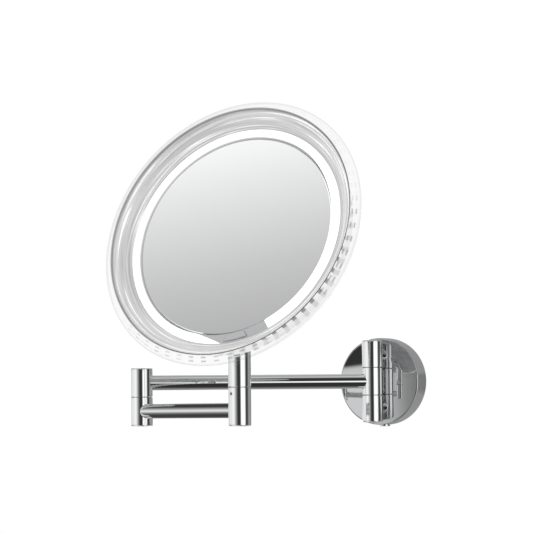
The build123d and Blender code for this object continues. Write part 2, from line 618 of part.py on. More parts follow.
# ---- head: dish, glass, tray and light ----
def acrylic_dish():
    foot, foot_top = DISH_BORE - DISH_FOOT, DISH_BACK + DISH_FOOT_THICK
    shoulder = LIP_PLANE - LIP_ROUND / 2
    lip_start, lip_end = (LIP_R - LIP_INSIDE, shoulder), (LIP_R + LIP_ROUND, shoulder)
    rim_start = (HEAD_R - RIM_ROUND, RIM_PLANE + RIM_FRONT)
    rim_end = (HEAD_R - RIM_ROUND, RIM_PLANE - RIM_REAR)
    edges = Polyline((DISH_BACK_R, DISH_BACK), (foot, DISH_BACK), (foot, foot_top), (DISH_BORE, foot_top),
                     (DISH_BORE, DISH_FLOOR))
    edges += bowed((DISH_BORE, DISH_FLOOR), lip_start, FLARE_BOW)
    edges += ThreePointArc(lip_start, (LIP_R, LIP_PLANE), lip_end)
    edges += Line(lip_end, rim_start)
    edges += ThreePointArc(rim_start, (HEAD_R, RIM_PLANE - RIM_CREST), rim_end)
    edges += bowed(rim_end, (DISH_BACK_R, DISH_BACK), -SIDE_BOW)
    return turned(edges)


def mirror_glass():
    disc = rod(2 * GLASS_R, -GLASS_THICK, 0)
    return chamfer(disc.edges().filter_by(GeomType.CIRCLE).sort_by(Axis.Z)[-1], GLASS_BEVEL)


def cover_screw_places():
    return [Rot(0, 0, angle) * Pos(GLASS_R - COVER_SCREW_INSET, 0, 0) for angle in (45, 135, 225, 315)]


def bracket_screw_places():
    x, y = BRACKET_SCREWS
    middle = -HINGE_BELOW + (BRACKET_ABOVE - BRACKET_BELOW) / 2
    return [Pos(sx * x / 2, middle + sy * y / 2, 0) for sx in (-1, 1) for sy in (-1, 1)]


LAMP_WIRE_Y = LED_R - LAMP_WIRE_INSET


def head_tray():
    """Stepped chassis: a plate behind the glass, a skirt, and a flange under the light ring."""
    skirt_bore = 2 * (TRAY_R - TRAY_SKIRT)
    tray = rod(2 * TRAY_R, TRAY_BACK, TRAY_FACE)
    tray += ring(skirt_bore, 2 * TRAY_R, FLANGE_BACK, TRAY_FACE)
    tray += ring(skirt_bore, 2 * RING_OUT, FLANGE_BACK, FLANGE_FACE)
    hole = rod(SMALL_SCREW_DIA + 2 * SEATED, BACK_FACE, TRAY_BACK - BOSS_FLOOR)
    wire_hole = rod(WIRE_DIA + WIRE_HOLE_ROOM, FLANGE_BACK - PAST, FLANGE_FACE + PAST)
    for spot in cover_screw_places():
        tray += spot * rod(BOSS_DIA, BACK_FACE + BACK_WALL, TRAY_BACK + JOIN)
        tray -= spot * hole
    for spot in bracket_screw_places():
        tray += spot * rod(BOSS_DIA, BRACKET_FACE, TRAY_BACK + JOIN)
        tray -= spot * hole
    for x in (-WIRE_APART, WIRE_APART):
        tray -= Pos(x, LAMP_WIRE_Y, 0) * wire_hole
    return tray - Pos(*from_bottom(SWITCH_ANGLE, SWITCH_WIRE_R)) * wire_hole


def light_ring():
    """Frosted channel over the lamps, left out where the switch panel is."""
    return turned(ring_section(RING_TOP, BOARD_FACE)) - panel_space(BOARD_FACE - PAST, RING_FRONT + PAST)


def flat_board(low, high):
    return ring(2 * (RING_IN - BOARD_INSIDE), 2 * RING_OUT, low, high)


def led_board():
    return flat_board(FLANGE_FACE, BOARD_FACE) - panel_space(FLANGE_FACE - PAST, BOARD_FACE + PAST)


def led_chips():
    chip = Box(LED_LENGTH, LED_WIDTH, LED_HEIGHT, align=STEP_UP)
    margin = degrees((LED_LENGTH + LED_FROM_PANEL) / LED_R)
    chips = []
    for step in range(round(360 / LED_PITCH)):
        angle = -180 + (step + 0.5) * LED_PITCH
        if PANEL_INNER[0] - margin < angle < PANEL_INNER[1] + margin:
            continue
        chips.append(Pos(*from_bottom(angle, LED_R), BOARD_FACE) * Rot(0, 0, angle) * chip)
    return group(chips)


# ---- head: switch ----
SWITCH_ANGLE = (KEY_OUTER[0] + KEY_OUTER[1]) / 2
SWITCH_WIRE_R = RING_IN + SWITCH_WIRE_INSET
SWITCH_PLACE = Pos(*from_bottom(SWITCH_ANGLE, LED_R))


def switch_panel():
    """The unlit stretch of the ring, with the key's window."""
    space = panel_space(BOARD_FACE - PAST, RING_FRONT + PAST, -PANEL_GAP)
    panel = turned(ring_section(RING_TOP, BOARD_FACE)) & space
    return panel - key_space(DISH_FLOOR - RING_TOP - PAST, RING_FRONT + PAST, KEY_GAP)


def switch_key():
    """Key cap parallel to the panel's slope, on a stem that enters the push switch."""
    low = DISH_FLOOR - KEY_BODY
    cap = key_space(low, RING_FRONT + KEY_PROUD + PAST)
    inner_top, outer_top = (RING_IN, RING_FRONT + KEY_PROUD), (RING_OUT, DISH_FLOOR + KEY_PROUD)
    cap &= turned(Polyline(inner_top, outer_top, (RING_OUT, low), (RING_IN, low), close=True))
    return cap + SWITCH_PLACE * rod(STEM_DIA, BOARD_FACE + KEY_TRAVEL + STEM_CLEAR, low + JOIN)


def switch_board():
    space = panel_space(FLANGE_FACE - PAST, BOARD_FACE + PAST, -PANEL_GAP)
    return flat_board(FLANGE_FACE, BOARD_FACE) & space


def push_switch():
    body = Pos(0, 0, BOARD_FACE) * Box(TACT_SIZE, TACT_SIZE, TACT_HEIGHT, align=STEP_UP)
    body -= rod(STEM_DIA + 2 * RUNNING, BOARD_FACE + TACT_FLOOR, BOARD_FACE + TACT_HEIGHT + PAST)
    return SWITCH_PLACE * Rot(0, 0, SWITCH_ANGLE) * body


# ---- head: batteries and electrics ----
def cell_places():
    first = -(CELL_COUNT - 1) / 2 * CELL_PITCH
    return [(first + i * CELL_PITCH, 1 if i % 2 else -1) for i in range(CELL_COUNT)]


def battery_box():
    """Open tray for the cells, on the back of the head's tray, with a lug for the door's screw."""
    box = rounded_plate(BOX_X, -BOX_Y, BOX_Y, DOOR_CORNER, BOX_BACK, BOX_FLOOR)
    w = BOX_WALL
    box -= rounded_plate(BOX_X - w, w - BOX_Y, BOX_Y - w, DOOR_CORNER - w, BOX_BACK - PAST, BOX_FLOOR - w)
    box += block((-BOSS_DIA / 2, BOSS_DIA / 2), (-BOX_Y - BOX_EAR, -BOX_Y + JOIN), (BOX_BACK, BOX_FLOOR))
    hole = rod(SMALL_SCREW_DIA + 2 * SEATED, BOX_BACK - PAST, DOOR_FACE + DOOR_SCREW_LENGTH + PAST)
    return box - Pos(0, DOOR_SCREW_Y, 0) * hole


def battery_cells():
    """Round cells side by side, turned end for end in turn, each with its positive button."""
    cells = []
    for x, way in cell_places():
        shoulder = CELL_LENGTH / 2 - BUTTON_HEIGHT
        cell = rod(CELL_DIA, -CELL_LENGTH / 2, shoulder)
        cell = chamfer(cell.edges().filter_by(GeomType.CIRCLE), CELL_EDGE)
        cell += rod(BUTTON_DIA, shoulder - JOIN, CELL_LENGTH / 2)
        cells.append(Pos(x, 0, CELL_AXIS) * Rot(-90 * way, 0, 0) * cell)
    return group(cells)


def battery_contacts():
    """A leaf at each end of each cell, bowed towards the cell."""
    wall, half = BOX_Y - BOX_WALL, CONTACT_SIZE / 2
    nose = Cone(*CONTACT_NOSE, CONTACT_ROOM - CONTACT_THICK - END_GAP, align=STEP_UP)
    leaves = []
    for x, _ in cell_places():
        for side in (-1, 1):
            depth = (CELL_AXIS - half, CELL_AXIS + half)
            leaf = block((x - half, x + half), (wall - CONTACT_THICK, wall), depth)
            leaf += Pos(x, wall - CONTACT_THICK, CELL_AXIS) * Rot(90, 0, 0) * nose
            leaves.append(leaf if side > 0 else mirror(leaf, Plane.XZ))
    return group(leaves)


def driver_board():
    """Current driver for the lamps: a board with a coil, a chip and a capacitor on its back."""
    w, h = DRIVER_BOARD
    back = DRIVER_FACE + JOIN
    board = block((-w / 2, w / 2), (-h / 2, h / 2), (DRIVER_FACE, DRIVER_FACE + BOARD_THICK))
    board += Pos(COIL_ASIDE, 0, 0) * rod(COIL_DIA, DRIVER_FACE - COIL_HEIGHT, back)
    chip = block((-CHIP_SIZE[0] / 2, CHIP_SIZE[0] / 2), (-CHIP_SIZE[1] / 2, CHIP_SIZE[1] / 2),
                 (DRIVER_FACE - CHIP_HEIGHT, back))
    board += Pos(CHIP_ASIDE, 0, 0) * chip
    return board + Pos(*CAPACITOR_PLACE) * rod(CAPACITOR_DIA, DRIVER_FACE - CAPACITOR_HEIGHT, back)


def battery_leads():
    start, end = BOX_UP + BOX_Y, DRIVER_UP - DRIVER_BOARD[1] / 2 + PAD_INSIDE
    level = DRIVER_FACE - WIRE_BEHIND_DRIVER
    runs = []
    for x in (-WIRE_APART, WIRE_APART):
        points = [(x, start, level), (x, end, level), (x, end, DRIVER_FACE)]
        runs.append(wire(points, BATTERY_WIRE_BEND))
    return group(runs)


def lamp_leads():
    start, end = DRIVER_UP + DRIVER_BOARD[1] / 2 - PAD_INSIDE, LAMP_WIRE_Y
    level = FLANGE_BACK - WIRE_BEHIND_FLANGE
    runs = []
    for x in (-WIRE_APART, WIRE_APART):
        points = [(x, start, DRIVER_FACE), (x, start, level), (x, end, level), (x, end, FLANGE_FACE)]
        runs.append(wire(points, LAMP_WIRE_BEND))
    return group(runs)


def switch_lead():
    """From the driver's right end round the battery box and under the flange to the switch board."""
    level, side = FLANGE_BACK - WIRE_BEHIND_FLANGE, BOX_X + SWITCH_WIRE_ASIDE
    end_x, end_y = from_bottom(SWITCH_ANGLE, SWITCH_WIRE_R)
    start_x = DRIVER_BOARD[0] / 2 - PAD_INSIDE
    points = [(start_x, DRIVER_UP, DRIVER_FACE), (start_x, DRIVER_UP, level),
              (side, DRIVER_UP - SWITCH_WIRE_DROP, level), (side, BOX_UP - BOX_Y - SWITCH_WIRE_UNDER, level),
              (end_x, end_y + SWITCH_WIRE_TAIL, level), (end_x, end_y, level), (end_x, end_y, FLANGE_FACE)]
    return wire(points, SWITCH_WIRE_BENDS)


# ---- head: back cover, battery door and tilt bracket ----
def rounded_plate(x, y_low, y_high, corner, low, high):
    plate = block((-x, x), (y_low, y_high), (low, high))
    return fillet(plate.edges().filter_by(Axis.Z), corner)


def back_cover():
    flat, inside = DISH_BACK_R - BACK_SLOPE, BACK_FACE + BACK_WALL
    foot, step = DISH_BORE - DISH_FOOT, COVER_RIM - BACK_WALL
    edges = Polyline((foot, step), (foot, COVER_RIM), (DISH_BACK_R, COVER_RIM))
    edges += bowed((DISH_BACK_R, COVER_RIM), (flat, BACK_FACE), -BACK_BOW)
    corner = (flat - BACK_WALL, inside)
    edges += Polyline((flat, BACK_FACE), (0, BACK_FACE), (0, inside), corner, (foot, step))
    cover = turned(edges)
    f, c, low, high = DOOR_FRAME, DOOR_CORNER, BOX_UP + DOOR_LOW, BOX_UP + DOOR_HIGH
    cover += rounded_plate(DOOR_X + f, low - f, high + f, c + f, DOOR_FACE, BACK_FACE + JOIN)
    cover -= rounded_plate(DOOR_X, low, high, c, DOOR_FACE - PAST, inside + PAST)
    slot_x, slot_y = TONGUE / 2 + LOOSE, TONGUE_HEIGHT / 2 + LOOSE
    slot = block((-slot_x, slot_x), (-slot_y, slot_y), (BACK_FACE - PAST, inside + PAST))
    cover -= Pos(0, -HINGE_BELOW, 0) * slot
    for spot in cover_screw_places():
        cover -= spot * rod(SMALL_SCREW_DIA + 2 * SEATED, BACK_FACE - PAST, inside + PAST)
        cover -= spot * rod(SMALL_HEAD_DIA + 2 * SEATED, BACK_FACE - PAST, BACK_FACE + SMALL_HEAD)
    return cover


def small_screw(seat, length):
    """Flat-headed screw that enters towards +Z, its head's front on the plane z = seat."""
    under_head = seat + SMALL_HEAD
    screw = rod(SMALL_HEAD_DIA, seat, under_head) + rod(SMALL_SCREW_DIA, under_head - JOIN, seat + length)
    long, wide = SMALL_CROSS
    for angle in (0, 90):
        arm = block((-long, long), (-wide, wide), (seat - PAST, seat + SMALL_CROSS_DEPTH))
        screw -= Rot(0, 0, angle) * arm
    return screw


def battery_door():
    g, inside = DOOR_GAP, DOOR_FACE + DOOR_THICK
    door = rounded_plate(DOOR_X - g, DOOR_LOW + g, DOOR_HIGH - g, DOOR_CORNER - g, DOOR_FACE, inside)
    spot = Pos(0, DOOR_SCREW_Y, 0)
    door -= spot * rod(SMALL_SCREW_DIA + 2 * SEATED, DOOR_FACE - PAST, inside + PAST)
    return door - spot * rod(SMALL_HEAD_DIA + 2 * SEATED, DOOR_FACE - PAST, DOOR_FACE + DOOR_SCREW_HEAD)


def battery_door_screw():
    under_head = DOOR_FACE + DOOR_SCREW_HEAD
    screw = rod(SMALL_HEAD_DIA, DOOR_FACE, under_head)
    screw += rod(SMALL_SCREW_DIA, under_head - JOIN, DOOR_FACE + DOOR_SCREW_LENGTH)
    (wide, deep), long = DOOR_SLOT, SMALL_HEAD_DIA / 2 + PAST
    screw -= block((-long, long), (-wide, wide), (DOOR_FACE - PAST, DOOR_FACE + deep))
    return Pos(0, DOOR_SCREW_Y, 0) * screw


def tilt_bracket():
    """Plate inside the back cover, with the tongue that turns in the post's fork."""
    low, high, back = -HINGE_BELOW - BRACKET_BELOW, -HINGE_BELOW + BRACKET_ABOVE, BACK_FACE + BACK_WALL
    plate = rounded_plate(BRACKET_WIDTH / 2, low, high, BRACKET_CORNER, back, BRACKET_FACE)
    half, tall = TONGUE / 2, TONGUE_HEIGHT / 2
    tongue = Pos(0, -HINGE_BELOW, 0) * block((-half, half), (-tall, tall), (-HINGE_BEHIND, back + JOIN))
    axis = Pos(0, -HINGE_BELOW, -HINGE_BEHIND) * ALONG_X
    bracket = plate + tongue + axis * rod(TONGUE_HEIGHT, -half, half)
    bracket -= axis * rod(TILT_SCREW_DIA + 2 * RUNNING, -half - PAST, half + PAST)
    for spot in bracket_screw_places():
        bracket -= spot * rod(SMALL_SCREW_DIA + 2 * SEATED, BACK_FACE, BRACKET_FACE + PAST)
        bracket -= spot * rod(SMALL_HEAD_DIA + 2 * SEATED, BACK_FACE, back + SMALL_HEAD)
    return bracket


# ---- assembly ----
place(Pos(0, 0, 0), wall_plate=wall_plate(), rosette=rosette(), rosette_screw=rosette_screw(),
      upper_stand_off=stand_off(1), lower_stand_off=stand_off(-1),
      stand_off_screws=group([stand_off_screw(1), stand_off_screw(-1)]))

seams = (WALL_SEAM + SEAM / 2 - WASHER, -WALL_SEAM - SEAM / 2)
wall_cap = Pos(0, 0, OUTER_TOP) * end_cap(WALL_BARREL_DIA)
nut_bore = PIN_DIA + 2 * SEATED
wall_nut = hexagon_nut(NUT_DIA, nut_bore, NUT_SEAT, NUT_SEAT + NUT_THICK)
place(WALL, wall_upper_knuckle=outer_wall_knuckle(1), wall_lower_knuckle=outer_wall_knuckle(-1),
      wall_pin=wall_pin(), wall_pin_nut=lowered(wall_nut),
      wall_seam_washers=group([seam_washer(WALL_BARREL_DIA, low) for low in seams]),
      wall_upper_cap=wall_cap, wall_lower_cap=lowered(wall_cap))

upper_cap = Pos(0, 0, ELBOW_CAP) * end_cap(BARREL_DIA)
lower_cap = lowered(upper_cap)
washer_low = ELBOW_NUT_SEAT - SPRING_WASHER
place(ARM_1, arm_1_wall_knuckle=middle_knuckle(), arm_1_tube=arm_tube(ARM_1_LENGTH))
place(ARM_1 * Pos(ARM_1_LENGTH, 0, 0), arm_1_elbow_knuckle=elbow_knuckle(nut_bore, 180, False),
      elbow_pin=elbow_pin(), elbow_upper_cap=upper_cap,
      elbow_spring_washer=ring(nut_bore, NUT_DIA, washer_low, ELBOW_NUT_SEAT - SEATED),
      elbow_nut=hexagon_nut(NUT_DIA, nut_bore, washer_low - NUT_THICK, washer_low))
place(ARM_2, arm_2_elbow_knuckle=elbow_knuckle(PIN_DIA + 2 * RUNNING, 0, True),
      arm_2_tube=arm_tube(ARM_2_LENGTH), elbow_lower_cap=lower_cap,
      elbow_seam_washer=seam_washer(BARREL_DIA, ARM_DROP / 2 - SEAM / 2))
place(ARM_2 * Pos(ARM_2_LENGTH, 0, 0), post_lower_barrel=post_lower_barrel(), post_bush=post_bush(),
      post_set_screw=post_set_screw(), post_lower_cap=lower_cap,
      post_seam_washer=seam_washer(BARREL_DIA, POST_SEAM_RISE - SEAM / 2))

place(POST, post_upper_barrel=post_upper_barrel())
place(HINGE, tilt_screw=tilt_screw(), tilt_nut=tilt_nut(),
      tilt_washers=group([tilt_washer(1), tilt_washer(-1)]))

place(HEAD, acrylic_dish=acrylic_dish(), mirror_glass=mirror_glass(), head_tray=head_tray(),
      glass_pad=rod(2 * (GLASS_R - PAD_INSET), TRAY_FACE, -GLASS_THICK),
      light_ring=light_ring(), led_board=led_board(), led_chips=led_chips(),
      switch_panel=switch_panel(), switch_key=switch_key(), switch_board=switch_board(),
      push_switch=push_switch())
place(HEAD * Pos(0, BOX_UP, 0), battery_box=battery_box(), battery_cells=battery_cells(),
      battery_contacts=battery_contacts(), battery_door=battery_door(),
      battery_door_screw=battery_door_screw())
place(HEAD * Pos(0, DRIVER_UP, 0), driver_board=driver_board())
place(HEAD, battery_leads=battery_leads(), lamp_leads=lamp_leads(), switch_lead=switch_lead(),
      back_cover=back_cover(), tilt_bracket=tilt_bracket())

cover_screw = small_screw(BACK_FACE, COVER_SCREW_LENGTH)
bracket_screw = small_screw(BACK_FACE + BACK_WALL, BRACKET_SCREW_LENGTH)
place(HEAD, back_cover_screws=group([spot * cover_screw for spot in cover_screw_places()]),
      bracket_screws=group([spot * bracket_screw for spot in bracket_screw_places()]))

os.makedirs("parts", exist_ok=True)
for name, piece in nodes.items():
    export_step(piece, f"parts/{name}.step")
print(len(nodes), "nodes")
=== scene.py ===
import json
import math

import bpy
from mathutils import Matrix, Vector


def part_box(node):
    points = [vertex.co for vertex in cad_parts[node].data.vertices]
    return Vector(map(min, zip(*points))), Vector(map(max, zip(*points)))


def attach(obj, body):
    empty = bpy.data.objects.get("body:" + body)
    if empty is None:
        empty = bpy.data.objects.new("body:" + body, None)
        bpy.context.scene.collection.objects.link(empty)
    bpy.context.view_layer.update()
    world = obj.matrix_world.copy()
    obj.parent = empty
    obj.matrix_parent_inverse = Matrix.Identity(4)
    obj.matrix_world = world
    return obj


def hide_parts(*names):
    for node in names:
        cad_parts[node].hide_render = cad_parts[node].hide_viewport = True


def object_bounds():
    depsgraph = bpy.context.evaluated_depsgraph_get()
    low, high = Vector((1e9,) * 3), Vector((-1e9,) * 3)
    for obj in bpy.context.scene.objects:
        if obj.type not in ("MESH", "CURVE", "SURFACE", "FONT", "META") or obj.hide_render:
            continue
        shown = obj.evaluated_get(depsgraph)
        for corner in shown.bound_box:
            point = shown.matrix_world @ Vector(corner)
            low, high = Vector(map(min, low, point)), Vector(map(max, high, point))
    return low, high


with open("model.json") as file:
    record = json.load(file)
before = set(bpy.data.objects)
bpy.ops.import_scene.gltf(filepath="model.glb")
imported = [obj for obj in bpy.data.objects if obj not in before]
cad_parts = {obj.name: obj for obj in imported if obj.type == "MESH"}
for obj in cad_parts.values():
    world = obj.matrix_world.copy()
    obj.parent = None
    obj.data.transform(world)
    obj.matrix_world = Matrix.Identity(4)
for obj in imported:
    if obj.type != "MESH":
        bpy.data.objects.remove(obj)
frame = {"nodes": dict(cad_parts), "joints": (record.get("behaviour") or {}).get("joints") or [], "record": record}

# Extendable shaving mirror, in metres, in the CAD model's frame: the wall is the plane y = 0, the room
# is on the -Y side and +Z is up. Lengths ending in _MM are millimetres, and angles are in degrees.

MM = 0.001
CAD_LOW, CAD_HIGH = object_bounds()

# ---- camera, about the wall mount ----
EYE_AZIMUTH = 25.52
EYE_DISTANCE = 2.6105
EYE_HEIGHT = -0.025
LOOK_AZIMUTH = 27.839
LOOK_UP = 2.7981
LOOK_ROLL = 0.5
LENS_MM = 199.5
SENSOR_MM = 36.0

# ---- studio ----
FLOOR_DROP = 0.16  # under the lowest barrel
FLOOR_SIZE = 2.0

ARM_VIEW = 0.1  # half of the arms' share of the reflections, as a cosine

# ---- head, in its own frame: across, up, and out from the front of the glass ----
DISH_BORE_MM = 97.1
FLARE_FOOT_MM = 0.8
LIP_MM = 111.5
LIP_OUT_MM = 12.4
LIP_ROUND_MM = 1.2
RIM_MM = 118.95
RIM_OUT_MM = 7.5
BACK_MM = 101.3
BACK_OUT_MM = -13.3
FOOT_MM = 95.1
FOOT_OUT_MM = -12.2
FLARE_BOW_MM = 1.6
SIDE_BOW_MM = 2.4
SKIN_MM = 0.5
LATHE_STEPS = 360
LAMP_PITCH = 6.0


# ---- the head's frame, read from the record's joints and the glass ----
def joint(name):
    return next(j for j in frame["joints"] if j["name"] == name)


OUT = -Vector(joint("switch_press")["axis"]).normalized()
ACROSS = -Vector(joint("head_tilt")["axis"]).normalized()
UP = OUT.cross(ACROSS).normalized()
ACROSS = UP.cross(OUT)


def reach(name, direction):
    """(lowest, highest) coordinate of a CAD node along a direction."""
    along = [v.co.dot(direction) for v in frame["nodes"][name].data.vertices]
    return min(along), max(along)


GLASS_CENTRE = sum((direction * sum(reach("mirror_glass", direction)) / 2 for direction in (ACROSS, UP)),
                   OUT * reach("mirror_glass", OUT)[1])
HEAD = Matrix.Translation(GLASS_CENTRE) @ Matrix((ACROSS, UP, OUT)).transposed().to_4x4()


# ---- node helpers ----
class Nodes:
    """A short way to build a node tree."""

    def __init__(self, tree):
        self.tree = tree

    def add(self, kind, inputs=None, **settings):
        node = self.tree.nodes.new("ShaderNode" + kind)
        for key, value in settings.items():
            setattr(node, key, value)
        for key, value in (inputs or {}).items():
            if isinstance(value, bpy.types.NodeSocket):
                self.tree.links.new(value, node.inputs[key])
            else:
                node.inputs[key].default_value = value
        return node

    def math(self, operation, a, b=0.0, clamp=False):
        return self.add("Math", {0: a, 1: b}, operation=operation, use_clamp=clamp).outputs[0]

    def dot(self, vector, axis):
        return self.add("VectorMath", {0: vector, 1: axis}, operation="DOT_PRODUCT").outputs["Value"]

    def ramp(self, value, stops, low=0.0, high=1.0, ease="LINEAR"):
        """Colour ramp over value from low to high; stops are (place between them, grey or colour)."""
        place = self.add("MapRange", {"Value": value, "From Min": low, "From Max": high}).outputs["Result"]
        node = self.add("ValToRGB", {"Fac": place})
        node.color_ramp.interpolation = ease
        elements = node.color_ramp.elements
        while len(elements) > 1:
            elements.remove(elements[-1])
        for index, (at, shade) in enumerate(stops):
            element = elements[0] if index == 0 else elements.new((at - low) / (high - low))
            element.position = (at - low) / (high - low)
            element.color = grey(shade) if isinstance(shade, (int, float)) else (*shade, 1.0)
        return node.outputs["Color"]

    def mix(self, factor, a, b, blend="MIX"):
        return self.add("Mix", {"Factor": factor, 6: a, 7: b}, data_type="RGBA", blend_type=blend).outputs[2]

    def multiply(self, a, b):
        return self.mix(1.0, a, b, "MULTIPLY")


def grey(value):
    return (value, value, value, 1.0)


def new_material(name):
    material = bpy.data.materials.new(name)
    material.use_nodes = True
    tree = material.node_tree
    tree.nodes.clear()
    return material, Nodes(tree)


def finish_material(nodes, shader):
    output = nodes.add("OutputMaterial")
    nodes.tree.links.new(shader, output.inputs["Surface"])


def head_coordinates(nodes):
    """(radius, angle from the bottom towards +across, out) in metres and radians, as sockets."""
    place = nodes.add("TexCoord").outputs["Object"]
    from_centre = nodes.add("VectorMath", {0: place, 1: GLASS_CENTRE}, operation="SUBTRACT").outputs["Vector"]
    across, up, out = (nodes.dot(from_centre, axis) for axis in (ACROSS, UP, OUT))
    squares = nodes.math("ADD", nodes.math("MULTIPLY", across, across), nodes.math("MULTIPLY", up, up))
    radius = nodes.math("SQRT", squares)
    angle = nodes.math("ARCTAN2", across, nodes.math("MULTIPLY", up, -1.0))
    return radius, angle, out


def polar_noise(nodes, radius, angle, along, through, detail=3.0):
    """Noise drawn out round the head: along is its scale round the rim, through its scale across it."""
    round_x = nodes.math("MULTIPLY", nodes.math("SINE", angle), along)
    round_y = nodes.math("MULTIPLY", nodes.math("COSINE", angle), along)
    across = nodes.math("MULTIPLY", radius, through)
    vector = nodes.add("CombineXYZ", {"X": round_x, "Y": round_y, "Z": across})
    return nodes.add("TexNoise", {"Vector": vector.outputs[0], "Scale": 1.0, "Detail": detail}).outputs["Fac"]


# ---- materials ----
def metal(name, colour, roughness, smear=0.03, bump_scale=900.0, bump=0.02, dome=None):
    """Metal with faint smears in its gloss; dome = (centre, depth, radius, wave) swells a flat face."""
    material, nodes = new_material(name)
    place = nodes.add("TexCoord").outputs["Object"]
    smears = nodes.add("TexNoise", {"Vector": place, "Scale": 35.0, "Detail": 4.0}).outputs["Fac"]
    gloss = nodes.ramp(smears, [(0.35, roughness), (0.7, roughness + smear)])
    fine = nodes.add("TexNoise", {"Vector": place, "Scale": bump_scale, "Detail": 2.0}).outputs["Fac"]
    tint = nodes.mix(smears, (*[c * 0.97 for c in colour], 1.0), (*colour, 1.0))
    normal = nodes.add("Bump", {"Height": fine, "Strength": bump, "Distance": 0.00002}).outputs["Normal"]
    if dome:
        centre, depth, radius, wave = dome
        offset = nodes.add("VectorMath", {0: place, 1: centre}, operation="SUBTRACT").outputs["Vector"]
        x, z = nodes.dot(offset, (1, 0, 0)), nodes.dot(offset, (0, 0, 1))
        square = nodes.math("ADD", nodes.math("MULTIPLY", x, x), nodes.math("MULTIPLY", z, z))
        crown = nodes.math("MULTIPLY", square, -depth / radius ** 2)
        ripple = nodes.add("TexNoise", {"Vector": place, "Scale": 14.0, "Detail": 0.0}).outputs["Fac"]
        height = nodes.math("ADD", crown, nodes.math("MULTIPLY", ripple, wave))
        swell = {"Height": height, "Strength": 1.0, "Distance": 1.0, "Normal": normal}
        normal = nodes.add("Bump", swell).outputs["Normal"]
    shader = nodes.add("BsdfPrincipled", {"Base Color": tint, "Metallic": 1.0, "Roughness": gloss,
                                          "Normal": normal})
    finish_material(nodes, shader.outputs[0])
    return material


def plastic(name, colour, roughness, grain=600.0, bump=0.15, specular=0.5):
    """Moulded plastic: a fine grain in the surface and a slow drift of tone."""
    material, nodes = new_material(name)
    place = nodes.add("TexCoord").outputs["Object"]
    drift = nodes.add("TexNoise", {"Vector": place, "Scale": 18.0, "Detail": 3.0}).outputs["Fac"]
    fine = nodes.add("TexNoise", {"Vector": place, "Scale": grain, "Detail": 2.0}).outputs["Fac"]
    tint = nodes.mix(drift, (*[c * 0.94 for c in colour], 1.0), (*colour, 1.0))
    gloss = nodes.ramp(fine, [(0.3, roughness), (0.7, min(1.0, roughness + 0.08))])
    normal = nodes.add("Bump", {"Height": fine, "Strength": bump, "Distance": 0.0001}).outputs["Normal"]
    shader = nodes.add("BsdfPrincipled", {"Base Color": tint, "Roughness": gloss,
                                          "Specular IOR Level": specular, "Normal": normal})
    finish_material(nodes, shader.outputs[0])
    return material


def lit(name, colour, strength, fade=None):
    """Opal diffuser with the light behind it; fade is a list of (out, share of the light) stops, painted shade
    that dims the glow further back.
    """
    material, nodes = new_material(name)
    place = nodes.add("TexCoord").outputs["Object"]
    cloud = nodes.add("TexNoise", {"Vector": place, "Scale": 60.0, "Detail": 2.0}).outputs["Fac"]
    glow = nodes.ramp(cloud, [(0.3, (colour[0] * 0.97, colour[1] * 0.97, colour[2] * 0.97)), (0.7, colour)])
    if fade:
        out = head_coordinates(nodes)[2]
        glow = nodes.multiply(glow, nodes.ramp(out, fade, -0.01, 0.01))
    shader = nodes.add("BsdfPrincipled", {"Base Color": (0.3, 0.3, 0.3, 1.0), "Roughness": 0.4,
                                          "Emission Color": glow, "Emission Strength": strength})
    finish_material(nodes, shader.outputs[0])
    return material


def mirror_material():
    material, nodes = new_material("mirror_silver")
    place = nodes.add("TexCoord").outputs["Object"]
    haze = nodes.add("TexNoise", {"Vector": place, "Scale": 9.0, "Detail": 3.0}).outputs["Fac"]
    gloss = nodes.ramp(haze, [(0.3, 0.0), (0.8, 0.012)])
    tint = nodes.mix(haze, (0.965, 0.97, 0.975, 1.0), (0.985, 0.988, 0.99, 1.0))
    shader = nodes.add("BsdfPrincipled", {"Base Color": tint, "Metallic": 1.0, "Roughness": gloss})
    finish_material(nodes, shader.outputs[0])
    return material


def flare_material():
    """The dish's flare, its grey a painted reflection: fine painted reflection streaks round it, and painted shade
    that makes it darker at its foot and lip.
    """
    material, nodes = new_material("flare_painted_reflection")
    radius, angle, out = head_coordinates(nodes)
    reflection_streaks = polar_noise(nodes, radius, angle, 1.6, 900.0, 5.0)
    broad = polar_noise(nodes, radius, angle, 0.9, 160.0, 1.0)
    shade = nodes.ramp(reflection_streaks, [(0.3, 0.36), (0.45, 0.48), (0.56, 0.54), (0.66, 0.85)])
    # painted shade at the foot by the ring and at the lip, with a painted highlight band just inside the lip
    across = nodes.ramp(radius, [(0.0971, 0.75), (0.0986, 0.86), (0.102, 1.0), (0.1065, 0.93), (0.1085, 1.2),
                                 (0.1098, 0.95), (0.1106, 0.5)], 0.09, 0.12)
    tone = nodes.multiply(nodes.multiply(shade, across), nodes.ramp(broad, [(0.35, 0.92), (0.65, 1.06)]))
    # the tone also lights itself faintly through the emission, a painted glow
    shader = nodes.add("BsdfPrincipled", {"Base Color": tone, "Metallic": 0.1, "Roughness": 0.4,
                                          "Specular IOR Level": 0.2, "Emission Color": tone,
                                          "Emission Strength": 0.12})
    finish_material(nodes, shader.outputs[0])
    return material


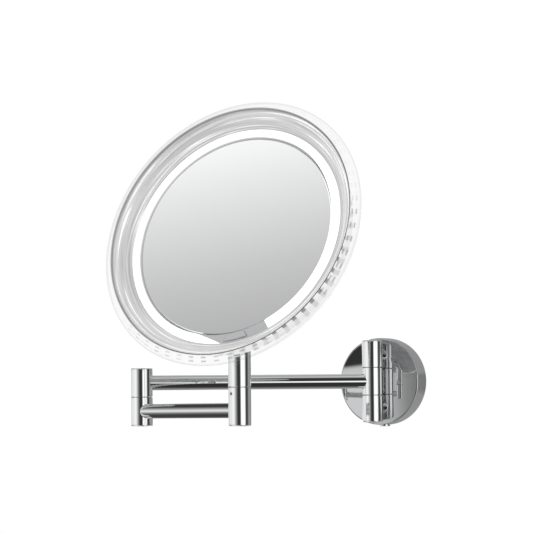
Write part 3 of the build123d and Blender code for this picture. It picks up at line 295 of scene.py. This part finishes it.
def clear_material():
    """Clear acrylic: see-through, with painted dark lines at its edges and painted reflections of the lamps in its
    bevel.
    """
    material, nodes = new_material("acrylic_clear")
    radius, angle, out = head_coordinates(nodes)
    lamp = nodes.math("COSINE", nodes.math("MULTIPLY", angle, 360 / LAMP_PITCH))
    # inner and outer rows of painted reflections of the lamps, dashed one per lamp, mostly in the lower right
    inner_reflection_row = nodes.ramp(radius, [(0.1125, 0.0), (0.1134, 1.0), (0.1143, 0.0)], 0.11, 0.12)
    outer_reflection_row = nodes.ramp(radius, [(0.1153, 0.0), (0.1162, 1.0), (0.1171, 0.0)], 0.11, 0.12)
    dash = nodes.ramp(lamp, [(0.2, 0.0), (0.5, 1.0)], -1, 1)
    patch = polar_noise(nodes, radius, angle, 2.2, 20.0, 1.0)
    lamp_reflection_rows = nodes.math("MULTIPLY", nodes.math("MAXIMUM", inner_reflection_row, outer_reflection_row), dash)
    lamp_reflection_rows = nodes.math("MULTIPLY", lamp_reflection_rows, nodes.ramp(patch, [(0.4, 0.1), (0.6, 0.55)]))
    lower_right = nodes.ramp(angle, [(-0.9, 0.15), (-0.3, 1.0), (1.9, 1.0), (2.4, 0.15)], -math.pi, math.pi)
    lamp_reflection_rows = nodes.math("MULTIPLY", lamp_reflection_rows, lower_right)
    # painted dark lines at the lip and at the outer rim, where the clear edges show dark
    painted_edge_lines = nodes.ramp(radius, [(0.1098, 0.0), (0.1104, 0.62), (0.1115, 0.6), (0.112, 0.02), (0.1178, 0.01),
                               (0.1188, 0.12)], 0.1, 0.12)
    front = nodes.ramp(out, [(0.0, 0.0), (0.004, 1.0)], -0.02, 0.02)
    dark = nodes.math("MULTIPLY", nodes.math("MAXIMUM", lamp_reflection_rows, painted_edge_lines), front, clamp=True)
    tone = nodes.mix(dark, (0.988, 0.992, 0.988, 1.0), (0.0, 0.0, 0.0, 1.0))
    clear = nodes.add("BsdfTransparent", {"Color": tone})
    gloss = nodes.add("BsdfGlossy", {"Color": grey(1.0), "Roughness": 0.05})
    shader = nodes.add("MixShader", {0: 0.03, 1: clear.outputs[0], 2: gloss.outputs[0]})
    # the bore and the back face carry a painted glow of the lamps behind them, with a painted grey shade mark
    # between each two
    bore = nodes.ramp(radius, [(0.0976, 1.0), (0.0984, 0.0)], 0.09, 0.12)
    foot = nodes.ramp(out, [(-0.0129, 1.0), (-0.0125, 0.0)], -0.02, 0.02)
    deep = nodes.ramp(out, [(-0.0128, 0.2), (-0.0105, 0.75), (-0.007, 0.75), (-0.005, 0.2)], -0.02, 0.02)
    lamp_gap_shade = nodes.math("MULTIPLY", nodes.ramp(lamp, [(0.0, 0.0), (0.6, 1.0)], -1, 1), deep)
    glow = nodes.add("Emission", {"Color": nodes.mix(lamp_gap_shade, grey(0.95), grey(0.1)), "Strength": 1.0})
    share = nodes.math("MULTIPLY", nodes.math("MAXIMUM", bore, foot), 0.85)
    shader = nodes.add("MixShader", {0: share, 1: shader.outputs[0], 2: glow.outputs[0]})
    finish_material(nodes, shader.outputs[0])
    return material


# ---- shapes ----
def link(name, vertices, faces, smooth=True):
    mesh = bpy.data.meshes.new(name)
    mesh.from_pydata(vertices, [], faces)
    mesh.validate()
    mesh.update()
    obj = bpy.data.objects.new(name, mesh)
    bpy.context.scene.collection.objects.link(obj)
    if smooth:
        for polygon in mesh.polygons:
            polygon.use_smooth = True
    return obj


def lathe(name, profile, steps=LATHE_STEPS):
    """A closed solid of revolution about the head's axis; profile is (radius, out) in millimetres."""
    vertices, faces = [], []
    count = len(profile)
    for step in range(steps):
        turn = 2 * math.pi * step / steps
        for radius, out in profile:
            vertices.append(HEAD @ Vector((radius * math.cos(turn), radius * math.sin(turn), out)))
    for step in range(steps):
        here, there = step * count, (step + 1) % steps * count
        for i in range(count):
            j = (i + 1) % count
            faces.append((here + i, here + j, there + j, there + i))
    return link(name, [tuple(v) for v in vertices], faces)


def arc_through(start, middle_point, end, steps):
    """Points of the circle through three (radius, out) points, ends included."""
    (ax, ay), (bx, by), (cx, cy) = start, middle_point, end
    d = 2 * (ax * (by - cy) + bx * (cy - ay) + cx * (ay - by))
    a2, b2, c2 = ax * ax + ay * ay, bx * bx + by * by, cx * cx + cy * cy
    ux = (a2 * (by - cy) + b2 * (cy - ay) + c2 * (ay - by)) / d
    uy = (a2 * (cx - bx) + b2 * (ax - cx) + c2 * (bx - ax)) / d
    radius = math.hypot(ax - ux, ay - uy)
    first = math.atan2(ay - uy, ax - ux)
    sweep = (math.atan2(cy - uy, cx - ux) - first + math.pi) % (2 * math.pi) - math.pi
    turns = [first + sweep * i / steps for i in range(steps + 1)]
    return [(ux + radius * math.cos(turn), uy + radius * math.sin(turn)) for turn in turns]


def bowed(start, end, bow, steps=24):
    (a, b), (c, d) = start, end
    length = math.hypot(c - a, d - b)
    top = ((a + c) / 2 + bow * (d - b) / length, (b + d) / 2 - bow * (c - a) / length)
    return arc_through(start, top, end, steps)


def in_metres(points):
    return [(r * MM, z * MM) for r, z in points]


LIP_START = (LIP_MM - LIP_ROUND_MM * 0.7, LIP_OUT_MM - LIP_ROUND_MM * 0.5)
LIP_END = (LIP_MM + LIP_ROUND_MM, LIP_OUT_MM - LIP_ROUND_MM * 0.5)
RIM_END = (RIM_MM - 0.9, RIM_OUT_MM - 2.0)


def flare_line(inset):
    """The flare from its foot to the lip, moved into the acrylic by inset."""
    foot = (DISH_BORE_MM + inset, FLARE_FOOT_MM)
    return bowed(foot, (LIP_START[0] + inset * 0.7, LIP_START[1] - inset * 0.7), FLARE_BOW_MM)


def smooth_edges(obj, angle=30.0):
    """Shares vertices between facets and keeps the edges sharper than the angle."""
    for polygon in obj.data.polygons:
        polygon.use_smooth = True
    weld = obj.modifiers.new("weld", "WELD")
    weld.merge_threshold = 0.000002
    split = obj.modifiers.new("split", "EDGE_SPLIT")
    split.split_angle = math.radians(angle)


def dress(names, material):
    for name in names:
        slots = frame["nodes"][name].data.materials
        slots.clear()
        slots.append(material)


# ---- the dish: a skin on the flare painted with reflections and shade, and the clear acrylic behind it ----
front = flare_line(0.0)
back = flare_line(SKIN_MM)
flare = lathe("dish_flare", in_metres(front + back[::-1]))
clear = lathe("dish_clear", in_metres(
    [(BACK_MM, BACK_OUT_MM), (FOOT_MM, BACK_OUT_MM), (FOOT_MM, FOOT_OUT_MM), (DISH_BORE_MM, FOOT_OUT_MM),
     (DISH_BORE_MM, FLARE_FOOT_MM - 0.3)]
    + flare_line(SKIN_MM + 0.05)
    + arc_through(LIP_START, (LIP_MM, LIP_OUT_MM), LIP_END, 8)
    + arc_through((RIM_MM - 0.9, RIM_OUT_MM + 1.2), (RIM_MM, RIM_OUT_MM - 0.3), RIM_END, 8)
    + bowed(RIM_END, (BACK_MM, BACK_OUT_MM), -SIDE_BOW_MM)[1:-1]))
for piece in (flare, clear):
    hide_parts("acrylic_dish")
    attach(piece, "head")
flare.data.materials.append(flare_material())
flare.data.materials.append(plastic("flare_back", (0.86, 0.87, 0.87), 0.6, specular=0.1))
for face in flare.data.polygons:
    face.material_index = 0 if face.index % (len(front) + len(back)) < len(front) - 1 else 1
clear.data.materials.append(clear_material())
for piece in (flare, clear):
    smooth_edges(piece, 40.0)

# ---- materials on the CAD pieces ----
slot_of = {part["node"]: part["material_slot"] for part in frame["record"]["subparts"]}
chrome = metal("chrome_polished", (0.9, 0.905, 0.91), 0.02)
rosette_low, rosette_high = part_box("rosette")
ROSETTE_CENTRE = (rosette_low + rosette_high) / 2
finishes = {
    "chrome": chrome,
    "steel": metal("steel_plain", (0.62, 0.62, 0.64), 0.28, 0.12, 400.0, 0.2),
    "brass": metal("brass_turned", (0.78, 0.6, 0.3), 0.22, 0.08),
    "washer_plastic": plastic("nylon_dark", (0.05, 0.05, 0.055), 0.45),
    "mirror_glass": mirror_material(),
    "foam": plastic("foam_dark", (0.05, 0.05, 0.055), 0.8, 1500.0, 0.6),
    "tray_plastic": plastic("abs_white", (0.74, 0.74, 0.74), 0.42),
    # the fade stops paint shade into the ring's glow, darkest down its inner wall by the glass
    "lit_diffuser": lit("opal_lit", (1.0, 1.0, 1.0), 1.25,
                        [(-0.004, 0.2), (-0.0005, 0.35), (0.0004, 0.7), (0.0024, 1.0)]),
    "lamp_board": plastic("board_white", (0.8, 0.82, 0.8), 0.4),
    "lamp": lit("lamp_lit", (1.0, 0.96, 0.86), 3.0),
    "silver_plastic": plastic("lacquer_silver", (0.4, 0.403, 0.41), 0.25, 1400.0, 0.05),
    "switch_black": plastic("switch_black", (0.03, 0.03, 0.03), 0.4),
    "cell_wrap": plastic("cell_wrap", (0.12, 0.16, 0.2), 0.3),
    "driver_green": plastic("board_green", (0.05, 0.22, 0.1), 0.35),
    "lead_red": plastic("lead_red", (0.5, 0.03, 0.03), 0.4),
    "lead_white": plastic("lead_white", (0.75, 0.75, 0.74), 0.4),
}
for node, slot_name in slot_of.items():
    if slot_name in finishes:
        dress([node], finishes[slot_name])
    smooth_edges(frame["nodes"][node])
dress(["rosette"], metal("chrome_pressed", (0.58, 0.585, 0.59), 0.03,
                         dome=(ROSETTE_CENTRE, 0.0026, 0.038, 0.0004)))

# ---- studio: white to the camera, soft panels and dark gaps in the reflections ----
world = bpy.data.worlds.new("studio")
bpy.context.scene.world = world
world.use_nodes = True
world.node_tree.nodes.clear()
sky = Nodes(world.node_tree)
direction = sky.add("TexCoord").outputs["Generated"]
look = math.radians(LOOK_AZIMUTH)
eye_turn = math.radians(EYE_AZIMUTH)
EYE = Vector((EYE_DISTANCE * math.sin(eye_turn), -EYE_DISTANCE * math.cos(eye_turn), EYE_HEIGHT))
TO_CAMERA = (math.sin(look), -math.cos(look), 0.0)
TO_RIGHT = (math.cos(look), math.sin(look), 0.0)
front_part, right_part = sky.dot(direction, TO_CAMERA), sky.dot(direction, TO_RIGHT)
height = sky.dot(direction, (0.0, 0.0, 1.0))
around = sky.math("MULTIPLY", sky.math("ARCTAN2", right_part, front_part), 180 / math.pi)
rise = sky.math("MULTIPLY", sky.math("ARCSINE", height), 180 / math.pi)
over = sky.math("MULTIPLY", sky.math("ARCTAN2", height, front_part), 180 / math.pi)

BELT = [(-180, 0.3), (-122, 0.12), (-116, 0.35), (-109, 0.75), (-98, 0.85), (-86, 0.9), (-73, 1.0),
        (-61, 1.0), (-50, 0.8), (-39, 0.42), (-28, 0.21), (-18, 0.05), (-8, 0.032), (3, 0.04), (9, 0.12),
        (12, 0.5), (15, 1.0), (18, 1.15), (52, 1.15), (57, 0.75), (65, 0.16), (72, 0.045), (82, 0.04),
        (92, 0.16), (108, 0.38), (127, 0.3), (180, 0.3)]
OVERHEAD = [(-180, 0.36), (-150, 0.35), (-120, 0.3), (-98, 0.14), (-84, 0.06), (-70, 0.03), (20, 0.03),
            (48, 0.035), (62, 0.12), (72, 0.5), (82, 0.7), (90, 0.55), (100, 0.3), (126, 0.5), (180, 0.4)]
REAR_SIDE = [(-180, 1.6), (-165, 1.5), (-150, 1.0), (-122, 0.8), (-113, 1.0), (-98, 1.0)]
REAR_RISE = [(-33, 0.05), (-27, 0.1), (-20, 0.18), (-11, 0.45), (0, 0.9), (15, 0.48), (23, 0.25), (31, 0.05)]
PANEL_GLOW = [(36.0, 0.4), (37.4, 0.48), (38.5, 0.56), (39.1, 0.63), (39.7, 0.69), (40.3, 0.77),
              (40.9, 0.84), (41.4, 0.91), (42.0, 1.0)]
PANEL_SLANT = -0.613  # degrees that the panel's shading drops for each degree to the right
PANEL_MIDDLE = -70.6
BAND_LIFT = 4.0  # the belt of light stands this much higher on the right
belt = sky.ramp(around, BELT, -180, 180)
overhead = sky.ramp(over, OVERHEAD, -180, 180)
lift = sky.math("MULTIPLY", sky.ramp(around, [(-5, 0.0), (8, 1.0)], -180, 180), BAND_LIFT)
band = sky.ramp(sky.math("SUBTRACT", rise, lift), [(-20, 0.0), (-13, 1.0), (3, 1.0), (7, 0.0)], -90, 90)
# only the arms show the overhead part; elsewhere a softer belt keeps the chrome from being black
arm_view = 0.0
for first, last in (("wall_swing", "elbow_swing"), ("elbow_swing", "head_swivel")):
    run = Vector(joint(last)["pos_m"]) - Vector(joint(first)["pos_m"])
    run.z = 0.0
    run.normalize()
    along = (Vector(joint(first)["pos_m"]) - EYE).normalized().dot(run)
    aside = sky.math("ABSOLUTE", sky.math("SUBTRACT", sky.dot(direction, run), along))
    arm_view = sky.math("MAXIMUM", arm_view, sky.ramp(aside, [(ARM_VIEW, 1.0), (ARM_VIEW + 0.06, 0.0)]))
soft = sky.mix(0.45, belt, grey(0.6))
studio_light = sky.mix(band, sky.mix(arm_view, soft, overhead), belt)
# the dark gap over the belt that the rosette shows
gap = sky.math("MULTIPLY", sky.ramp(around, [(-88, 0.0), (-80, 1.0), (-32, 1.0), (-24, 0.0)], -180, 180),
               sky.ramp(rise, [(5.5, 0.0), (7, 1.0), (16, 1.0), (20, 0.0)], -90, 90))
studio_light = sky.mix(gap, studio_light, grey(0.05))
# what the arms' backs show, from behind on the left
rear = sky.multiply(sky.ramp(around, REAR_SIDE, -180, 180), sky.ramp(rise, REAR_RISE, -90, 90))
beyond = sky.math("MULTIPLY", sky.math("SUBTRACT", 1.0, arm_view),
                  sky.ramp(rise, [(-45, 1.0), (-35, 0.0), (35, 0.0), (45, 1.0)], -90, 90))
rear = sky.mix(beyond, rear, soft)
studio_light = sky.mix(sky.ramp(around, [(-105, 1.0), (-98, 0.0)], -180, 180), studio_light, rear)
# the big soft panel that the glass shows, brighter towards its top
panel_side = sky.ramp(around, [(-100, 0.0), (-88, 1.0), (-50, 1.0), (-38, 0.0)], -180, 180)
panel_rise = sky.ramp(rise, [(26, 0.0), (32, 1.0), (48, 1.0), (58, 0.0)], -90, 90)
panel = sky.math("MULTIPLY", panel_side, panel_rise)
slant = sky.math("MULTIPLY", sky.math("SUBTRACT", around, PANEL_MIDDLE), PANEL_SLANT)
studio_light = sky.mix(panel, studio_light, sky.ramp(sky.math("ADD", rise, slant), PANEL_GLOW, -90, 90))
rays = sky.add("LightPath")
direct = sky.math("MAXIMUM", rays.outputs["Is Camera Ray"], rays.outputs["Is Transmission Ray"])
seen = sky.mix(direct, studio_light, grey(1.0))
diffuse = rays.outputs["Is Diffuse Ray"]
seen = sky.mix(diffuse, seen, grey(0.75))
background = sky.add("Background", {"Color": seen, "Strength": 1.0})
world_output = sky.add("OutputWorld")
world.node_tree.links.new(background.outputs[0], world_output.inputs["Surface"])


def area_light(name, place, target, size, power):
    light = bpy.data.lights.new(name, "AREA")
    light.shape = "RECTANGLE"
    light.size, light.size_y = size
    light.energy = power
    obj = bpy.data.objects.new(name, light)
    bpy.context.scene.collection.objects.link(obj)
    obj.location = place
    obj.rotation_mode = "QUATERNION"
    obj.rotation_quaternion = (Vector(target) - Vector(place)).to_track_quat("-Z", "Y")
    obj.visible_glossy = False
    return obj


centre = (CAD_LOW + CAD_HIGH) / 2
half = FLOOR_SIZE / 2
floor = link("floor", [(centre.x + x * half, centre.y + y * half, CAD_LOW.z - FLOOR_DROP)
                       for x, y in ((-1, -1), (1, -1), (1, 1), (-1, 1))], [(0, 1, 2, 3)], smooth=False)
floor.data.materials.append(plastic("studio_floor", (0.9, 0.9, 0.9), 0.6, 40.0, 0.02))
floor.visible_glossy = False
area_light("key_light", centre + Vector((-1.2, -2.2, 1.8)), centre, (1.6, 1.6), 40)
area_light("fill_light", centre + Vector((1.8, -1.6, 0.9)), centre, (1.8, 1.4), 18)

# ---- camera ----
pitch, roll = math.radians(LOOK_UP), math.radians(LOOK_ROLL)
ahead = Vector((-math.sin(look) * math.cos(pitch), math.cos(look) * math.cos(pitch), math.sin(pitch)))
level_right = Vector(TO_RIGHT)
level_up = level_right.cross(ahead)
right = level_right * math.cos(roll) - level_up * math.sin(roll)
up = right.cross(ahead)
camera_data = bpy.data.cameras.new("camera")
camera_data.lens = LENS_MM
camera_data.sensor_width = SENSOR_MM
camera_data.clip_end = 50.0
camera = bpy.data.objects.new("camera", camera_data)
bpy.context.scene.collection.objects.link(camera)
camera.matrix_world = Matrix.Translation(EYE) @ Matrix((right, up, -ahead)).transposed().to_4x4()
bpy.context.scene.camera = camera
bpy.context.scene.view_settings.view_transform = "Standard"
